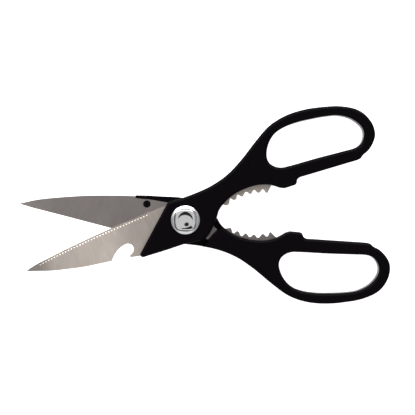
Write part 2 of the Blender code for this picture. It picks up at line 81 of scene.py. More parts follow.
FRONT_TIP = [(-87.8, 2.55), (-90.3, 1.85), (-91.7, 1.35)]
REAR_SPINE = [(-92.9, -1.0), (-84.0, -3.9), (-75.8, -5.7), (-56.5, -8.85), (-37.2, -10.75), (-30.0, -11.2)]
REAR_CUTTING_EDGE = [(-9.0, 12.1), (-18.0, 11.3), (-40.0, 7.8), (-67.2, 3.35), (-85.0, 0.55)]
FRONT_TANG_START = [(-27.8, -10.9)]
REAR_TANG_START = [(-28.9, -11.0), (-28.3, -10.1), (-24.5, -10.05)]
TANG_LOWER = [(-21.0, -10.1), (-10.5, -9.3), (-2.0, -9.2), (5.0, -7.6), (12.0, -4.7),
              (15.5, -0.6), (16.3, 1.7), (18.0, 2.9)]
TANG_TAIL = [(53.0, 5.4), (58.0, 3.6), (63.0, 3.4), (63.4, 7.6), (58.5, 8.4), (53.0, 11.2), (49.0, 13.4)]
TANG_UPPER = [(40.0, 14.2), (30.0, 12.8), (20.0, 11.4), (13.3, 8.9), (12.2, 8.7), (14.3, 4.9), (13.4, 3.3),
              (9.2, 5.4), (4.0, 8.2), (-4.6, 10.4)]
FRONT_TEETH = [(23.1, 2.1), (24.2, 1.3), (25.4, 1.2), (26.4, 2.0), (27.2, 3.7), (27.9, 4.1),
               (29.0, 2.9), (30.0, 2.6), (30.9, 3.1), (31.7, 4.5), (32.5, 4.7), (33.7, 3.4),
               (34.6, 3.1), (35.4, 3.8), (36.6, 4.8), (37.4, 4.8), (38.6, 3.4), (39.2, 2.9),
               (40.0, 3.4), (41.1, 4.4), (42.0, 4.4), (42.9, 2.7), (43.7, 2.2), (44.6, 2.4),
               (45.9, 3.3), (46.7, 3.2), (47.4, 1.3), (48.1, 0.7), (49.0, 1.5), (51.4, 3.8)]
REAR_TEETH = [(24.2, 1.7), (24.9, 1.4), (25.5, 1.4), (26.1, 2.3), (26.8, 3.9), (27.5, 4.2), (28.8, 3.1),
              (29.6, 2.8), (30.4, 3.3), (31.3, 5.0), (32.2, 5.3), (33.6, 3.9), (34.3, 3.6), (35.0, 4.1),
              (36.1, 5.3), (37.1, 5.3), (38.2, 4.1), (38.7, 3.8), (39.4, 4.1), (40.6, 5.3), (41.7, 5.2),
              (42.8, 3.6), (43.6, 3.0), (44.4, 3.3), (45.5, 4.2), (46.4, 4.1), (47.1, 2.2), (47.7, 1.6),
              (48.6, 2.2), (50.7, 3.9)]

# Handles, drawn closed, millimetres and degrees
EDGE_ROUNDING = 1.3
CHAMFER_FALL = 0.45
STEP_CHAMFER = 0.5
CHAMFER_ROUND_POWER = 6
TIP_ARC = ((-27.9, -10.3), 1.5)
SHOULDER_ARC = ((-4.97, 11.0), 2.0)
SLANT_NORMAL = 134.4
FRONT_BOSS = [(-15.0, -12.0), (-3.7, -11.95), (0.5, -12.3), (4.0, -12.65), (7.0, -12.35), (9.2, -11.7),
              (10.9, -10.6), (12.6, -9.0), (14.6, -6.8)]
REAR_BOSS = [(-21.5, -12.25), (-15.0, -12.45), (-4.0, -12.85), (1.8, -12.2), (6.1, -10.7),
             (10.4, -8.75), (14.1, -6.6)]
JAW = [(17.1, -3.8), (20.0, 0.12), (25.0, 3.5), (30.0, 5.5), (35.0, 6.5),
       (40.0, 6.8), (45.0, 6.4), (50.0, 4.9), (53.0, 3.2), (56.0, 1.1), (58.4, 0.12)]
STOP_STEP = [(63.6, 0.1), (64.9, 0.5), (66.2, 2.6), (67.8, 3.3), (71.0, 3.25)]
LOOP_OUTSIDE = [(101.0, 2.45), (103.1, 2.8), (105.0, 4.2), (108.2, 5.5), (112.0, 8.5), (114.7, 12.5),
                (115.4, 17.5), (114.0, 23.0), (111.0, 27.8), (107.0, 31.0), (100.0, 34.3), (93.0, 36.2),
                (85.0, 37.8), (76.0, 38.5), (68.0, 37.8), (60.0, 35.4), (50.0, 29.4), (40.0, 22.6),
                (30.0, 17.2), (20.0, 14.2), (10.0, 13.0), (2.0, 12.7)]
FINGER_HOLE = [(53.9, 19.0), (55.2, 23.2), (58.1, 27.4), (62.0, 30.5), (67.0, 32.2), (75.0, 32.8),
               (85.0, 32.0), (92.0, 31.0), (98.4, 29.4), (104.8, 25.4), (108.8, 19.7), (109.2, 16.0),
               (107.6, 12.4), (105.0, 10.1), (101.5, 9.3), (95.0, 9.6), (80.0, 10.5), (65.0, 11.1),
               (60.0, 11.6), (56.6, 13.3), (54.4, 16.0)]
STEP_REGION = [(-45.0, 24.0), (-45.0, -24.0), (24.75, -24.0), (24.75, -3.95), (6.05, 20.9)]
STEP_SLOPE = 1.6
LAP_CLEARANCE = 0.02
CUT_MARGIN = 4.0
BROW_SHIFT = 5.0

# Pivot, millimetres and degrees; heights are above the rest plane, recess depths from the shear plane
HEAD_RADIUS = 7.2
HEAD_TOP = 1.7
NECK_SIDE = 6.4
NECK_TOP = 7.1
SHAFT_RADIUS = 3.1
SHAFT_TOP = 12.0
THREAD_RADIUS = 2.5
THREAD_ROOT = 2.15
THREAD_PITCH = 0.8
BOLT_TOP = 15.2
BOLT_EDGE = 0.15
THREAD_LEAD = 0.2
HEAD_ROUND = 0.7
NECK_SINK = 0.4
NECK_ROUND = 0.2
NECK_CLEARANCE = 0.3
REAR_RECESS = (7.9, SHEAR_PLANE - 2.8)
FRONT_RECESS = (8.3, 10.9 - SHEAR_PLANE)
BORE_RADIUS = 4.8
CAP_RADIUS = 7.9
CAP_LOW = 11.5
CAP_SKIRT_INNER = 7.2
CAP_RIM_TOP = 14.3
CAP_LEDGE = 13.6
CAP_RIM_INNER = 5.6
CAP_RIM_CONE = 0.4
CAP_RIM_DROP = 0.4
CAP_RIM_CURVE = 3.0
CAP_SEAM_WIDTH = 0.38
CAP_SEAM_DEPTH = 0.15
CAP_SEAM_ROWS = (20, 21, 22)
CAP_BOSS_SIDE = 5.6
CAP_BOSS_POWER = 3.6
CAP_BOSS_ROUND = 0.6
CAP_BOSS_TOP = 15.83
CAP_DOME_RADIUS = 4.4
CAP_DOME_DROP = 0.42
CAP_DOME_POWER = 2.2
CAP_TOP = 16.3
CAP_ROOF = 15.3
CAP_HOLLOW = 4.9
CAP_TURN = -6.4

# Mesh fineness and shading
ROUND_SEGMENTS = 144
CURVED_FACE_CORNERS = 5
LEVEL_NORMAL = 0.999999
MOULDED_ANGLE = 34
CHROME_ANGLE = 40

# Where the blades' painted sheen stops begin and end, metres from the pivot
BLADE_NEAR = 0.018
BLADE_FAR = 0.093

# Camera and studio, metres and degrees; SENSOR_WIDTH is in millimetres
CAMERA_TARGET = Vector((0.0129, 0.0055, SHEAR_PLANE * MM))
CAMERA_DISTANCE = 1.0
PICTURE_TURN = -6.377
FIELD_WIDTH = 0.2306
SENSOR_WIDTH = 36.0
DOME_STRENGTH = 0.6
DOME_DARK = 0.02
WINDOW_STRENGTH = 1.3
FLOOR_REACH = 3.0
FLOOR_DROP = 0.0005


def smooth_path(knots, spacing, closed=False):
    """Points along a centripetal Catmull-Rom curve through the knots."""
    count = len(knots)
    points = []
    for index in range(count if closed else count - 1):
        if closed:
            corners = [Vector(knots[(index + step) % count]) for step in (-1, 0, 1, 2)]
        else:
            corners = [Vector(knots[min(max(index + step, 0), count - 1)]) for step in (-1, 0, 1, 2)]
        before, start, end, after = corners
        if (start - before).length < 1e-6:
            before = start * 2 - end
        if (after - end).length < 1e-6:
            after = end * 2 - start
        times = [0.0]
        for first, second in ((before, start), (start, end), (end, after)):
            times.append(times[-1] + math.sqrt((second - first).length))
        steps = max(1, round((end - start).length / spacing))
        for step in range(steps):
            at = times[1] + (times[2] - times[1]) * step / steps
            first = before.lerp(start, at / times[1])
            second = start.lerp(end, (at - times[1]) / (times[2] - times[1]))
            third = end.lerp(after, (at - times[2]) / (times[3] - times[2]))
            near = first.lerp(second, at / times[2])
            far = second.lerp(third, (at - times[1]) / (times[3] - times[1]))
            points.append(near.lerp(far, (at - times[1]) / (times[2] - times[1])))
    if not closed:
        points.append(Vector(knots[-1]))
    return [(point.x, point.y) for point in points]


def arc(centre, radius, start, end, segments):
    points = []
    for step in range(segments + 1):
        angle = math.radians(start + (end - start) * step / segments)
        points.append((centre[0] + radius * math.cos(angle), centre[1] + radius * math.sin(angle)))
    return points


def circle(centre, radius, segments):
    return arc(centre, radius, 0.0, 360.0, segments)[:-1]


def square(centre, side):
    half = side / 2
    return [(centre[0] + x * half, centre[1] + y * half) for x, y in ((-1, -1), (1, -1), (1, 1), (-1, 1))]


def half_placement(side):
    """Move a half drawn closed into its open position: side 1 is the front half, -1 the rear."""
    height = Matrix.Translation((CENTRE_SHIFT[0] * MM, CENTRE_SHIFT[1] * MM, SHEAR_PLANE * MM))
    opening = Matrix.Rotation(math.radians(side * HALF_OPENING), 4, "Z")
    turned_over = Matrix.Rotation(0.0 if side == 1 else math.pi, 4, "X")
    return height @ opening @ turned_over


def pivot_centre(side):
    """Where the pivot axis passes through a half that is drawn closed."""
    centre = half_placement(side).inverted() @ Vector((0.0, 0.0, SHEAR_PLANE * MM))
    return centre.x / MM, centre.y / MM


def evaluated_mesh(item):
    bpy.context.view_layer.update()
    evaluated = item.evaluated_get(bpy.context.evaluated_depsgraph_get())
    return bpy.data.meshes.new_from_object(evaluated)


def new_object(name, shell):
    """A linked mesh object made from a bmesh, with its faces turned outward."""
    bmesh.ops.recalc_face_normals(shell, faces=shell.faces)
    mesh = bpy.data.meshes.new(name)
    shell.to_mesh(mesh)
    shell.free()
    item = bpy.data.objects.new(name, mesh)
    bpy.context.scene.collection.objects.link(item)
    return item


def closed_object(name, drawing):
    """A mesh object of the drawing's evaluated shape, welded, faces outward; the drawing is removed."""
    bpy.context.scene.collection.objects.link(drawing)
    mesh = evaluated_mesh(drawing)
    bpy.data.objects.remove(drawing, do_unlink=True)
    shell = bmesh.new()
    shell.from_mesh(mesh)
    bmesh.ops.remove_doubles(shell, verts=shell.verts, dist=1e-6)
    bmesh.ops.dissolve_degenerate(shell, edges=shell.edges, dist=1e-7)
    return new_object(name, shell)


def flat_solid(name, loops, low, high, rounding=0.0, growth=0.0, steps=0):
    curve = bpy.data.curves.new(name, "CURVE")
    curve.dimensions = "2D"
    curve.fill_mode = "BOTH"
    curve.extrude = ((high - low) / 2 - rounding) * MM
    curve.bevel_depth = rounding * MM
    curve.bevel_resolution = steps
    curve.offset = (growth - rounding) * MM
    for loop in loops:
        spline = curve.splines.new("POLY")
        spline.points.add(len(loop) - 1)
        for point, (x, y) in zip(spline.points, loop):
            point.co = (x * MM, y * MM, 0.0, 1.0)
        spline.use_cyclic_u = True
    item = closed_object(name, bpy.data.objects.new(name, curve))
    item.data.transform(Matrix.Translation((0.0, 0.0, (low + high) / 2 * MM)))
    return item


def turned_solid(name, profile, segments=ROUND_SEGMENTS):
    """A solid of revolution about the pivot axis; the profile runs down the outer side."""
    mesh = bpy.data.meshes.new(name)
    points = [(radius * MM, 0.0, height * MM) for radius, height in profile]
    count = len(points)
    edges = [(index, index + 1) for index in range(count - 1)]
    if profile[0][0] > 0.0:
        edges.append((count - 1, 0))
    mesh.from_pydata(points, edges, [])
    drawing = bpy.data.objects.new(name, mesh)
    screw = drawing.modifiers.new("Turn", "SCREW")
    screw.steps = segments
    screw.render_steps = segments
    screw.use_merge_vertices = True
    screw.merge_threshold = 1e-6
    return closed_object(name, drawing)


def box_solid(name, low, high):
    shell = bmesh.new()
    bmesh.ops.create_cube(shell, size=1.0)
    for vertex in shell.verts:
        vertex.co = [(near + (share + 0.5) * (far - near)) * MM
                     for near, far, share in zip(low, high, vertex.co)]
    return new_object(name, shell)


def prism(name, levels):
    """A solid between two loops with the same number of corners, each given with its height."""
    shell = bmesh.new()
    rows = [[shell.verts.new((x * MM, y * MM, height * MM)) for x, y in loop] for loop, height in levels]
    shell.faces.new(rows[0])
    shell.faces.new(rows[1])
    count = len(rows[0])
    for index in range(count):
        after = (index + 1) % count
        shell.faces.new((rows[0][index], rows[0][after], rows[1][after], rows[1][index]))
    return new_object(name, shell)


def combine(target, tools, operation="DIFFERENCE"):
    """Apply Boolean tools to the target's mesh, then remove the tools."""
    for tool in tools:
        modifier = target.modifiers.new(tool.name, "BOOLEAN")
        modifier.operation = operation
        modifier.solver = "EXACT"
        modifier.object = tool
    mesh = evaluated_mesh(target)
    target.modifiers.clear()
    target.data = mesh
    for tool in tools:
        bpy.data.objects.remove(tool, do_unlink=True)
    return target


def shade(item, angle):
    """Smooth the small curved facets and leave the broad flat faces flat."""
    item.data.set_sharp_from_angle(angle=math.radians(angle))
    for polygon in item.data.polygons:
        level = abs(polygon.normal.z) > LEVEL_NORMAL
        polygon.use_smooth = polygon.loop_total <= CURVED_FACE_CORNERS and not level


def add_piece(item, material, body, slot, *nodes):
    item.data.materials.clear()
    item.data.materials.append(material)
    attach(item, body)
    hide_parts(*nodes)


# ---------------------------------------------------------------- materials

PLAIN = (1.0, 1.0, 1.0)
NOISE_LOW = 0.3
NOISE_HIGH = 0.7
BUMP_DEPTH = 0.00002


class Nodes:
    """A small helper for building one material's node tree."""

    def __init__(self, name):
        self.material = bpy.data.materials.new(name)
        self.material.use_nodes = True
        self.tree = self.material.node_tree
        self.shader = self.tree.nodes["Principled BSDF"]
        self.coordinates = self.add("ShaderNodeTexCoord").outputs["Object"]

    def add(self, kind, **values):
        node = self.tree.nodes.new(kind)
        for key, value in values.items():
            setattr(node, key, value)
        return node

    def link(self, source, target):
        self.tree.links.new(source, target)

    def placed(self, turn, scale):
        """Object coordinates turned about Z by an angle in degrees, then stretched."""
        turned = self.add("ShaderNodeMapping", vector_type="POINT")
        turned.inputs["Rotation"].default_value = (0.0, 0.0, math.radians(turn))
        self.link(self.coordinates, turned.inputs["Vector"])
        stretched = self.add("ShaderNodeMapping", vector_type="POINT")
        stretched.inputs["Scale"].default_value = scale
        self.link(turned.outputs["Vector"], stretched.inputs["Vector"])
        return stretched.outputs["Vector"]

    def noise(self, vector, scale, detail=4.0, roughness=0.55):
        node = self.add("ShaderNodeTexNoise")
        node.inputs["Scale"].default_value = scale
        node.inputs["Detail"].default_value = detail
        node.inputs["Roughness"].default_value = roughness
        self.link(vector, node.inputs["Vector"])
        return node.outputs["Fac"]

    def spread(self, value, low, high, new_low, new_high):
        node = self.add("ShaderNodeMapRange")
        node.inputs["From Min"].default_value = low
        node.inputs["From Max"].default_value = high
        node.inputs["To Min"].default_value = new_low
        node.inputs["To Max"].default_value = new_high
        self.link(value, node.inputs["Value"])
        return node.outputs["Result"]

    def ramp(self, value, stops):
        node = self.add("ShaderNodeValToRGB")
        ramp = node.color_ramp
        while len(ramp.elements) < len(stops):
            ramp.elements.new(0.5)
        for element, (position, colour) in zip(ramp.elements, stops):
            element.position = position
            element.color = (*colour, 1.0)
        self.link(value, node.inputs["Fac"])
        return node.outputs["Color"]

    def bump(self, height, strength, distance):
        node = self.add("ShaderNodeBump")
        node.inputs["Strength"].default_value = strength
        node.inputs["Distance"].default_value = distance
        self.link(height, node.inputs["Height"])
        return node.outputs["Normal"]

    def set(self, name, value):
        socket = self.shader.inputs[name]
        if isinstance(value, bpy.types.NodeSocket):
            self.link(value, socket)
        else:
            socket.default_value = value


def blade_steel(name, tint, along, roughness, sheen):
    """Ground steel with its grain across the blade.

    along is the blade's direction in degrees; the last argument gives (place, brightness) stops from the
    pivot end to the tip, a painted sheen that lightens and darkens the base colour along the blade.
    """
    steel = Nodes(name)
    streaks = steel.noise(steel.placed(-along, (1500.0, 90.0, 300.0)), 1.0, 4.0, 0.62)
    scratches = steel.noise(steel.placed(-along + 8.0, (9000.0, 260.0, 900.0)), 1.0, 3.0, 0.6)
    patches = steel.noise(steel.placed(-along + 30.0, (160.0, 70.0, 70.0)), 1.0, 3.0, 0.55)
    mottled = steel.add("ShaderNodeMath", operation="MULTIPLY_ADD")
    steel.link(steel.spread(streaks, NOISE_LOW, NOISE_HIGH, -0.045, 0.045), mottled.inputs[0])
    mottled.inputs[1].default_value = 1.0
    steel.link(steel.spread(patches, NOISE_LOW, NOISE_HIGH, 0.94, 1.05), mottled.inputs[2])
    split = steel.add("ShaderNodeSeparateXYZ")
    steel.link(steel.placed(-along, PLAIN), split.inputs["Vector"])
    reach = steel.spread(split.outputs["X"], BLADE_NEAR, BLADE_FAR, 0.0, 1.0)
    # painted sheen: the brightness stops scale the base colour along the blade
    glow = steel.ramp(reach, [(place, (level, level, level)) for place, level in sheen])
    level = steel.add("ShaderNodeVectorMath", operation="SCALE")
    steel.link(glow, level.inputs[0])
    steel.link(mottled.outputs["Value"], level.inputs["Scale"])
    colour = steel.add("ShaderNodeVectorMath", operation="MULTIPLY")
    colour.inputs[1].default_value = tint
    steel.link(level.outputs["Vector"], colour.inputs[0])
    steel.set("Base Color", colour.outputs["Vector"])
    steel.set("Metallic", 1.0)
    steel.set("Roughness", steel.spread(streaks, NOISE_LOW, NOISE_HIGH, roughness - 0.04, roughness + 0.06))
    steel.set("Normal", steel.bump(scratches, 0.06, BUMP_DEPTH))
    return steel.material


def black_moulding(name):
    plastic = Nodes(name)
    fine = plastic.noise(plastic.placed(0.0, PLAIN), 2600.0, 2.0, 0.5)
    broad = plastic.noise(plastic.placed(0.0, PLAIN), 45.0, 3.0, 0.5)
    plastic.set("Base Color", plastic.ramp(fine, [(0.3, (0.0012, 0.0008, 0.0014)),
                                                  (0.7, (0.0048, 0.0035, 0.0052))]))
    plastic.set("Metallic", 0.0)
    plastic.set("IOR", 1.12)
    plastic.set("Roughness", plastic.spread(broad, NOISE_LOW, NOISE_HIGH, 0.27, 0.30))
    plastic.set("Normal", plastic.bump(fine, 0.2, BUMP_DEPTH))
    return plastic.material


def chrome_plate(name):
    """Bright chrome with a faint haze of fingerprints and fine turned rings."""
    chrome = Nodes(name)
    haze = chrome.noise(chrome.placed(0.0, PLAIN), 500.0, 3.0, 0.6)
    rings = chrome.add("ShaderNodeTexWave", wave_type="RINGS", rings_direction="Z")
    rings.inputs["Scale"].default_value = 420.0
    rings.inputs["Distortion"].default_value = 1.5
    rings.inputs["Detail"].default_value = 2.0
    chrome.link(chrome.coordinates, rings.inputs["Vector"])
    chrome.set("Base Color", chrome.ramp(rings.outputs["Fac"], [(0.2, (0.84, 0.84, 0.85)),
                                                                (0.7, (0.93, 0.93, 0.94))]))
    chrome.set("Metallic", 1.0)
    chrome.set("Roughness", chrome.spread(haze, NOISE_LOW, NOISE_HIGH, 0.03, 0.07))
    chrome.set("Normal", chrome.bump(rings.outputs["Fac"], 0.03, BUMP_DEPTH))
    return chrome.material


def painted_seam_shade(name):
    """Painted shade in the seam round the cap's boss, painted lighter at the top and towards the right,
    where the light falls.
    """
    seam_paint = Nodes(name)
    mottled = seam_paint.noise(seam_paint.placed(0.0, PLAIN), 900.0, 3.0, 0.6)
    split = seam_paint.add("ShaderNodeSeparateXYZ")
    seam_paint.link(seam_paint.coordinates, split.inputs["Vector"])
    # painted light: the seam's painted shade fades out towards the top and, partly, towards the right
    painted_light_mask = seam_paint.add("ShaderNodeMath", operation="MAXIMUM")
    seam_paint.link(seam_paint.spread(split.outputs["Y"], 3.4 * MM, 5.4 * MM, 0.0, 1.0), painted_light_mask.inputs[0])
    seam_paint.link(seam_paint.spread(split.outputs["X"], -4.5 * MM, 4.5 * MM, 0.0, 0.35), painted_light_mask.inputs[1])
    mix = seam_paint.add("ShaderNodeMix", data_type="RGBA")
    seam_paint.link(painted_light_mask.outputs["Value"], mix.inputs["Factor"])
    # painted shade: the dark mottled colour of the seam
    painted_shade = seam_paint.ramp(mottled, [(NOISE_LOW, (0.05, 0.048, 0.045)), (NOISE_HIGH, (0.13, 0.13, 0.12))])
    seam_paint.link(painted_shade, mix.inputs["A"])
    mix.inputs["B"].default_value = (0.82, 0.82, 0.83, 1.0)
    seam_paint.set("Base Color", mix.outputs["Result"])
    seam_paint.set("Metallic", 0.9)
    seam_paint.set("Roughness", seam_paint.spread(mottled, NOISE_LOW, NOISE_HIGH, 0.25, 0.4))
    return seam_paint.material


def plated_steel(name):
    zinc = Nodes(name)
    mottled = zinc.noise(zinc.placed(0.0, PLAIN), 900.0, 4.0, 0.6)
    rings = zinc.add("ShaderNodeTexWave", wave_type="RINGS", rings_direction="Z")
    rings.inputs["Scale"].default_value = 900.0
    rings.inputs["Distortion"].default_value = 0.6
    zinc.link(zinc.coordinates, rings.inputs["Vector"])
    zinc.set("Base Color", zinc.ramp(mottled, [(0.3, (0.50, 0.50, 0.49)), (0.7, (0.60, 0.60, 0.60))]))
    zinc.set("Metallic", 1.0)
    zinc.set("Roughness", zinc.spread(mottled, NOISE_LOW, NOISE_HIGH, 0.26, 0.38))
    zinc.set("Normal", zinc.bump(rings.outputs["Fac"], 0.08, BUMP_DEPTH))
    return zinc.material


def natural_nylon(name):
    nylon = Nodes(name)
    mottled = nylon.noise(nylon.placed(0.0, PLAIN), 700.0, 3.0, 0.5)
    nylon.set("Base Color", nylon.ramp(mottled, [(0.3, (0.58, 0.56, 0.50)), (0.7, (0.66, 0.64, 0.58))]))
    nylon.set("Roughness", nylon.spread(mottled, NOISE_LOW, NOISE_HIGH, 0.42, 0.55))
    nylon.set("Subsurface Weight", 0.1)
    return nylon.material


# ---------------------------------------------------------------- blades

def blade_outline(spine, teeth, cutting_edge):
    return spine + TANG_LOWER + smooth_path(teeth, 0.35) + TANG_TAIL + TANG_UPPER + cutting_edge


def front_outline():
    spine = smooth_path(FRONT_SPINE, 1.2)[:-1] + smooth_path(NOTCH, 0.4)[:-1] + smooth_path(NOTCH_HOOK, 0.2)
    cutting_edge = FRONT_CUTTING_EDGE + SERRATED_EDGE + FRONT_TIP
    return blade_outline(spine + FRONT_TANG_START, FRONT_TEETH, cutting_edge)


def rear_outline():
    return blade_outline(smooth_path(REAR_SPINE, 1.2) + REAR_TANG_START, REAR_TEETH, REAR_CUTTING_EDGE)


def blade_top_at(x):
    """Height of the outer face at a distance along the blade, falling towards the tip."""
    fall = (BLADE_THICKNESS - TIP_THICKNESS) / (TAPER_START - TIP_X)
    return BLADE_OUTER - fall * max(0.0, TAPER_START - x)


def edge_bevel(name, start, end):
    low = Vector((*start, blade_top_at(start[0]) - EDGE_BEVEL_DEPTH))
    high = Vector((*end, blade_top_at(end[0]) - EDGE_BEVEL_DEPTH))
    direction = (high - low).normalized()
    cutter = box_solid(name, (-30.0, -6.0, 0.0), (90.0, 6.0, 8.0))
    lean = Matrix.Rotation(-math.atan2(EDGE_BEVEL_DEPTH, EDGE_BEVEL_WIDTH), 4, "X")
    climb = Matrix.Rotation(-math.asin(direction.z), 4, "Y")
    turn = Matrix.Rotation(math.atan2(direction.y, direction.x), 4, "Z")
    cutter.data.transform(Matrix.Translation(low * MM) @ turn @ climb @ lean)
    return cutter


def taper(name):
    length = TAPER_START - TIP_X
    fall = math.atan2(BLADE_THICKNESS - TIP_THICKNESS, length)
    cutter = box_solid(name, (-length - 20.0, -30.0, 0.0), (0.0, 30.0, 6.0))
    move = Matrix.Translation((TAPER_START * MM, 0.0, BLADE_OUTER * MM))
    cutter.data.transform(move @ Matrix.Rotation(-fall, 4, "Y"))
    return cutter


def hollows(name):
    """A row of upright plugs with slanted ends; each sinks one small hollow behind the edge."""
    knots = [Vector(knot) for knot in SERRATED_EDGE]
    length = sum((after - before).length for before, after in zip(knots, knots[1:]))
    slant = math.tan(math.radians(HOLLOW_SLANT))
    plugs = bmesh.new()
    for index in range(HOLLOW_COUNT):
        distance = length * (index + 0.5) / HOLLOW_COUNT
        for start, end in zip(knots, knots[1:]):
            if distance <= (end - start).length:
                break
            distance -= (end - start).length
        along = (end - start).normalized()
        inward = Vector((-along.y, along.x))
        centre = start + along * distance + inward * HOLLOW_INSET
        plug = bmesh.ops.create_cone(plugs, cap_ends=True, segments=HOLLOW_SIDES, depth=2.0 * MM,
                                     radius1=HOLLOW_RADIUS * MM, radius2=HOLLOW_RADIUS * MM)["verts"]
        for vertex in plug:
            vertex.co.x *= HOLLOW_SQUASH
            if vertex.co.z < 0.0:
                vertex.co.z = -(HOLLOW_SHALLOW + HOLLOW_RADIUS * slant) * MM + vertex.co.y * slant
        turn = Matrix.Rotation(math.atan2(along.y, along.x), 4, "Z")
        move = Matrix.Translation(Vector((centre.x, centre.y, blade_top_at(centre.x))) * MM)
        bmesh.ops.transform(plugs, matrix=move @ turn, verts=plug)
    return new_object(name, plugs)


def make_blade(name, outline, pivot_hole, grinding, side):
    loops = [outline, circle(ANCHOR_CENTRE, ANCHOR_RADIUS, ANCHOR_SEGMENTS), pivot_hole]
    blade = flat_solid(name, loops, HALF_GAP, BLADE_OUTER, rounding=BLADE_ROUNDING)
    combine(blade, [taper(name + "_taper"), grinding])
    blade.data.transform(half_placement(side))
    return blade


# ---------------------------------------------------------------- handles

def handle_loops(boss):
    tip = arc(*TIP_ARC, SLANT_NORMAL, 270.0, 16)
    shoulder = arc(*SHOULDER_ARC, 90.0, SLANT_NORMAL, 8)
    outside = (tip + smooth_path(boss + JAW, 0.7) + smooth_path(STOP_STEP, 0.4)
               + smooth_path(LOOP_OUTSIDE, 0.8) + shoulder)
    return [outside, smooth_path(FINGER_HOLE, 0.7, closed=True)]


def soften_edges(item, rounding):
    """Turn the round edges into a broad low chamfer that ends in a tight round."""
    for vertex in item.data.vertices:
        depth = HALF_THICKNESS - abs(vertex.co.z) / MM
        share = depth / rounding
        if share < 1.0:
            lean = math.sqrt(max(0.0, share * (2.0 - share)))
            depth = rounding * (CHAMFER_FALL * lean + (1.0 - CHAMFER_FALL) * share ** CHAMFER_ROUND_POWER)
            vertex.co.z = math.copysign((HALF_THICKNESS - depth) * MM, vertex.co.z)


def step_cut(name, levels):
    """The lap region as a solid whose step wall slopes; levels are (height, shift along X)."""
    return prism(name, [([(x + shift, y) for x, y in STEP_REGION], height) for height, shift in levels])


def make_handle(name, outline, boss, recess, bore, side):
    handle = flat_solid(name, handle_loops(boss), -HALF_THICKNESS, HALF_THICKNESS,
                        rounding=EDGE_ROUNDING, steps=6)
    soften_edges(handle, EDGE_ROUNDING)
    height = HALF_THICKNESS + HALF_GAP
    lap = step_cut(name + "_lap", [(HALF_GAP + LAP_CLEARANCE, -STEP_SLOPE),
                                   (HALF_GAP - 2 * height, STEP_SLOPE)])
    ledge = -HALF_THICKNESS + STEP_CHAMFER
    start = -STEP_SLOPE * STEP_CHAMFER / height
    brow = step_cut(name + "_brow", [(ledge, start), (ledge - CUT_MARGIN, start + BROW_SHIFT)])
    pocket = flat_solid(name + "_pocket", [outline, circle(ANCHOR_CENTRE, ANCHOR_RADIUS, ANCHOR_SEGMENTS)],
                        HALF_GAP - SEAT_GAP, BLADE_OUTER + SEAT_GAP, growth=SEAT_GAP)
    radius, floor = recess
    well = flat_solid(name + "_well", [circle(pivot_centre(side), radius, ROUND_SEGMENTS)], floor,
                      HALF_THICKNESS + CUT_MARGIN)
    hole = flat_solid(name + "_hole", [bore], -HALF_THICKNESS - CUT_MARGIN, HALF_THICKNESS + CUT_MARGIN)
    combine(handle, [lap, brow, pocket, well, hole])
    handle.data.transform(half_placement(side))
    shade(handle, MOULDED_ANGLE)
    return handle


# ---------------------------------------------------------------- pivot

def pillow_radius(angle):
    """Radius of a rounded square with bulging sides, at an angle from the middle of a side."""
    power = CAP_BOSS_POWER
    across = abs(math.cos(angle)) ** power + abs(math.sin(angle)) ** power
    return CAP_BOSS_SIDE / across ** (1.0 / power)


def rim_height(radius):
    """The rim falls away from the boss towards the cap's outer edge."""
    share = max(0.0, (radius - CAP_RIM_INNER) / (CAP_RADIUS - CAP_RIM_INNER))
    return CAP_RIM_TOP - CAP_RIM_CONE * share - CAP_RIM_DROP * share ** CAP_RIM_CURVE


def cap_rings():
    """The cap's surface from its crown outward and round to the hollow underside.

    Each ring is (round radius, distance from the pillow outline, share of the pillow, height).
    """
    rings = []
    for step in range(1, 13):
        share = step / 12
        rings.append((CAP_DOME_RADIUS * share, 0.0, 0.0, CAP_TOP - CAP_DOME_DROP * share ** CAP_DOME_POWER))
    for step in range(9):
        lean = math.radians(90.0 * step / 8)
        rings.append((0.0, CAP_BOSS_ROUND * (math.sin(lean) - 1.0), 1.0,
                      CAP_BOSS_TOP - CAP_BOSS_ROUND * (1.0 - math.cos(lean))))
    rings.append((0.0, 0.02, 1.0, CAP_RIM_TOP - CAP_SEAM_DEPTH))
    rings.append((0.0, CAP_SEAM_WIDTH, 1.0, CAP_RIM_TOP - CAP_SEAM_DEPTH))
    for step in range(1, 11):
        share = step / 10
        rings.append((CAP_RADIUS * share, (CAP_SEAM_WIDTH + 0.05) * (1.0 - share), 1.0 - share, None))
    rings.append((CAP_RADIUS, 0.0, 0.0, CAP_LOW))
    rings.append((CAP_SKIRT_INNER, 0.0, 0.0, CAP_LOW))
    rings.append((CAP_SKIRT_INNER, 0.0, 0.0, CAP_LEDGE))
    rings.append((CAP_HOLLOW + 0.2, 0.0, 0.0, CAP_LEDGE))
    rings.append((CAP_HOLLOW, 0.0, 0.0, CAP_ROOF))
    return rings


